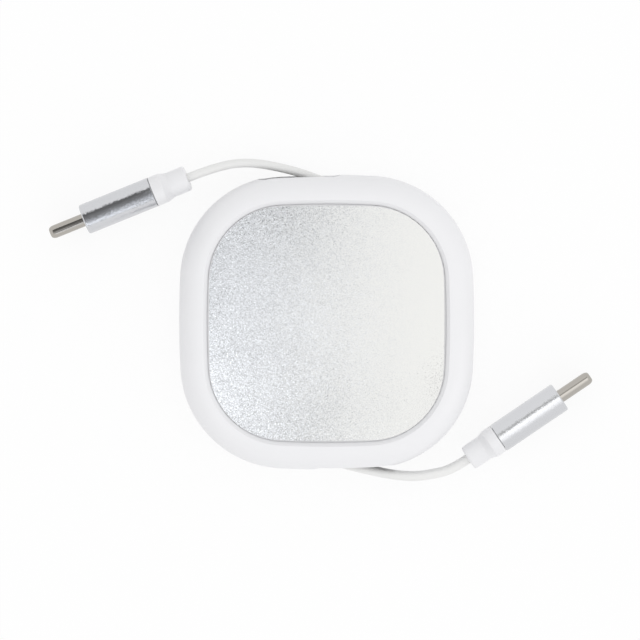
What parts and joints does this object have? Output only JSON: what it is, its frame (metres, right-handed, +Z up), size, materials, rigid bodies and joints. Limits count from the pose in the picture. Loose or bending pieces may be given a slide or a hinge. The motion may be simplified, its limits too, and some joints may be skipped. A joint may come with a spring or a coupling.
{
  "type": "retractable usb-c charging cable",
  "caption": "Flat rounded-square white casing with a domed aluminium face, and a spring reel inside that winds a flat cable with a USB-C plug at both ends.",
  "frame": {"origin": "middle of the casing's flat base", "axes": "+Z up through the face plate along the reel's axis, +Y towards the side where cable a leaves"},
  "size_m": [0.0998, 0.0593, 0.0126],
  "materials": {
    "white_casing": "satin moulded",
    "blasted_aluminium": "bead-blasted and anodised",
    "adhesive": "double-sided sheet",
    "screw_steel": "zinc plated",
    "ball_steel": "polished",
    "reel_acetal": "moulded",
    "spring_steel": "blued strip",
    "cable_jacket": "satin extruded",
    "barrel_aluminium": "anodised",
    "white_collar": "moulded",
    "nickel_steel": "nickel plated",
    "black_insulator": "moulded",
    "gold_contacts": "gold plated",
    "latch_steel": "stamped",
    "board_green": "solder mask"
  },
  "bodies": {
    "casing": {"top_shell": "white_casing", "bottom_shell": "white_casing", "face_plate": "blasted_aluminium", "plate_adhesive": "adhesive", "centre_screw": "screw_steel", "ratchet_ball": "ball_steel"},
    "reel": {"reel_drum": "reel_acetal", "reel_cover": "reel_acetal", "mainspring": "spring_steel", "wound_cable": "cable_jacket"},
    "plug_a": {"cable_tail_a": "cable_jacket", "barrel_a": "barrel_aluminium", "collar_a": "white_collar", "shell_a": "nickel_steel", "insulator_a": "black_insulator", "contacts_a": "gold_contacts", "latch_a": "latch_steel", "board_a": "board_green"},
    "plug_b": {"cable_tail_b": "cable_jacket", "barrel_b": "barrel_aluminium", "collar_b": "white_collar", "shell_b": "nickel_steel", "insulator_b": "black_insulator", "contacts_b": "gold_contacts", "latch_b": "latch_steel", "board_b": "board_green"}
  },
  "joints": [
    {"name": "reel_spin", "type": "hinge", "parent": "casing", "child": "reel", "pos_m": [0, 0, 0.0055], "axis": [0, 0, 1], "range_deg": [0, 1296], "stiffness_Nm_per_rad": 0.00025, "springref_deg": -1375.1, "deforming": ["mainspring"]},
    {"name": "plug_a_pull", "type": "slide", "parent": "casing", "child": "plug_a", "axis": [-1, 0, 0], "range_m": [0, 0.3665], "deforming": ["cable_tail_a"]},
    {"name": "plug_b_pull", "type": "slide", "parent": "casing", "child": "plug_b", "axis": [1, 0, 0], "range_m": [0, 0.3665], "deforming": ["cable_tail_b"]}
  ],
  "couplings": [
    {"joint": "plug_a_pull", "follows": "reel_spin", "m_per_rad": 0.0162},
    {"joint": "plug_b_pull", "follows": "reel_spin", "m_per_rad": 0.0162}
  ]
}
